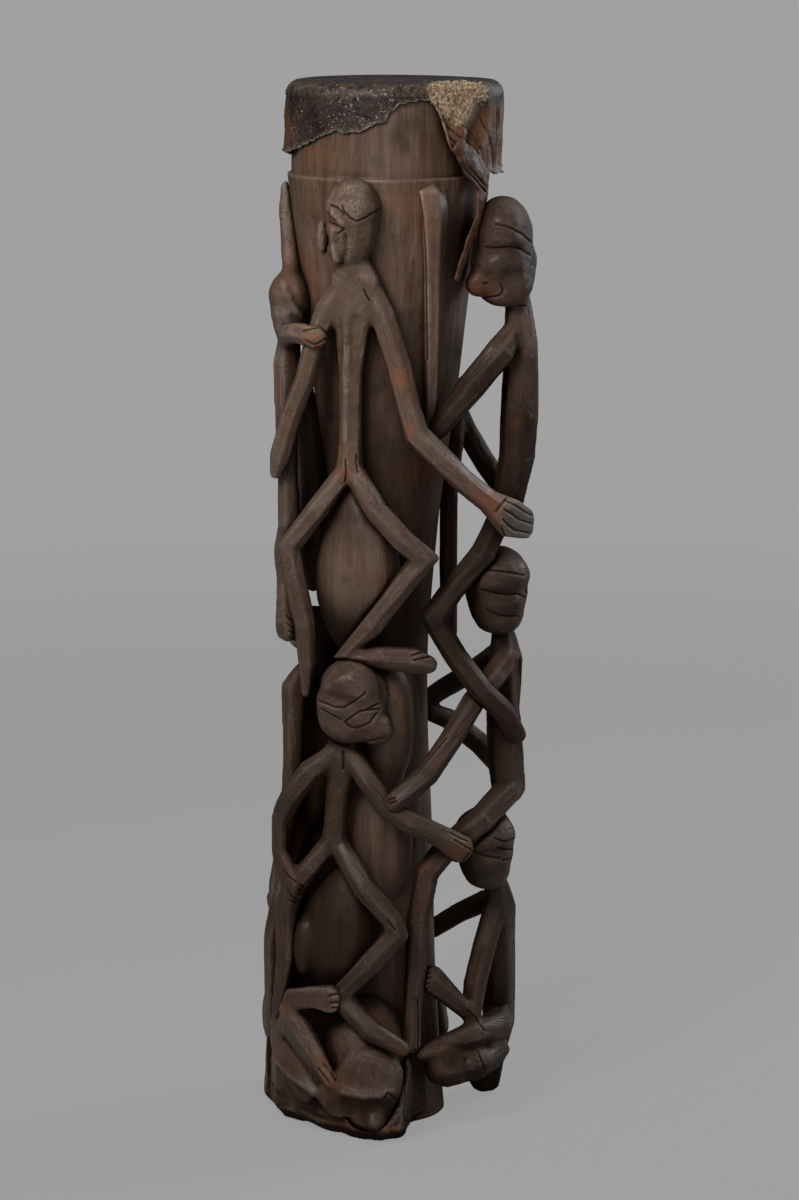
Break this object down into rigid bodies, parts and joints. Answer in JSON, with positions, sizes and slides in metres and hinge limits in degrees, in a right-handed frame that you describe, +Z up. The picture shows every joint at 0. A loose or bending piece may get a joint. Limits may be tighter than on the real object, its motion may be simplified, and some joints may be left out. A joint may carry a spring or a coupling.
{
  "type": "carved standing drum",
  "caption": "Tall hourglass drum carved from one log, with a hide head, an openwork cage of interlaced climbing figures and a lobed foot.",
  "frame": {"origin": "on the floor under the middle of the log; the bore's axis lies 17 mm to its left", "axes": "+Z up along the bore, -Y towards the front column of figures, +X towards the right-hand column"},
  "size_m": [0.3449, 0.3116, 1.3],
  "materials": {
    "shell_wood": "hand-adzed dark brown wood, smoothed by handling, with fine upright grain",
    "figure_wood": "knife-cut dark brown wood with a grey-brown worn sheen on its edges",
    "base_wood": "rough dark wood, worn to red-brown where it meets the floor",
    "hide": "dried dark hide with pale specks, torn pale edges and a patch of straw-coloured hair"
  },
  "bodies": {
    "root": {"drum_shell": "shell_wood", "drum_hide": "hide", "hide_strip": "hide", "front_strut": "shell_wood", "front_upper_swelling": "shell_wood", "front_lower_swelling": "shell_wood", "front_upper_figure": "figure_wood", "front_middle_figure": "figure_wood", "front_lower_figure": "figure_wood", "right_upper_figure": "figure_wood", "right_middle_figure": "figure_wood", "right_lower_figure": "figure_wood", "left_upper_figure": "figure_wood", "left_middle_figure": "figure_wood", "left_lower_figure": "figure_wood", "back_upper_figure": "figure_wood", "back_middle_figure": "figure_wood", "back_lower_figure": "figure_wood", "front_base_lobe": "base_wood", "left_base_lobe": "base_wood", "back_base_lobe": "base_wood"}
  },
  "joints": []
}
